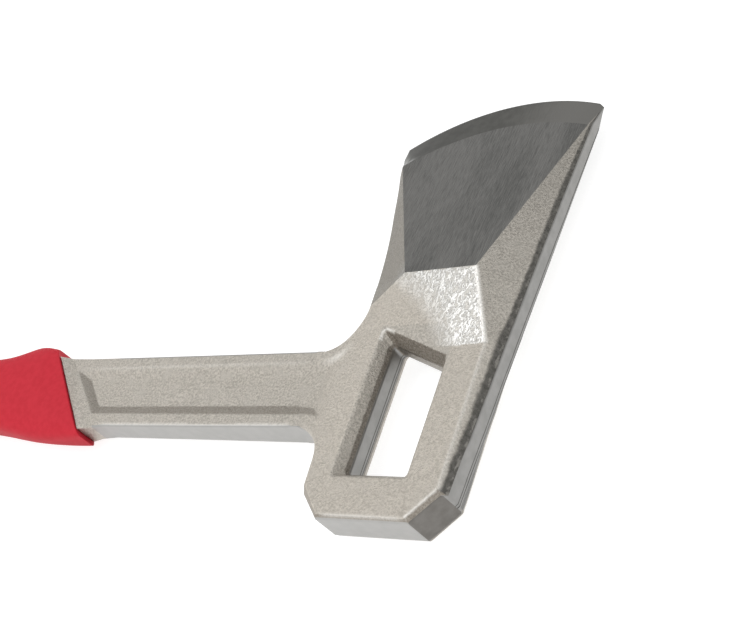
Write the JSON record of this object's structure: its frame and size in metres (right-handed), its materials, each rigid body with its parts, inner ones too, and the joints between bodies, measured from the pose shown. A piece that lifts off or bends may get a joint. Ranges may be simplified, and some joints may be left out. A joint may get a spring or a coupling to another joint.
{
  "type": "fire axe",
  "caption": "One-handed fire axe with a forged steel head, neck and tang in one piece, a window behind the hammer poll, and a red sleeved grip.",
  "frame": {"origin": "centre of the bounding box in X and Y, on the floor that the axe lies on", "axes": "+X along the handle towards the head, +Y from the hammer poll to the cutting edge, +Z out of the upper cheek"},
  "size_m": [0.4224, 0.2022, 0.0248],
  "materials": {
    "forged_steel": "shot-blasted satin, with ground bevels",
    "red_sleeve": "satin moulded",
    "black_plastic": "fine texture",
    "plated_steel": "bright plated"
  },
  "bodies": {
    "root": {"axe_forging": "forged_steel", "grip_sleeve": "red_sleeve", "grip_scale_top": "black_plastic", "grip_scale_bottom": "black_plastic", "tang_rivet_front": "plated_steel", "tang_rivet_middle": "plated_steel", "tang_rivet_rear": "plated_steel", "lanyard_bush": "plated_steel", "butt_cap": "black_plastic", "butt_washer": "plated_steel", "butt_screw": "plated_steel"}
  },
  "joints": []
}
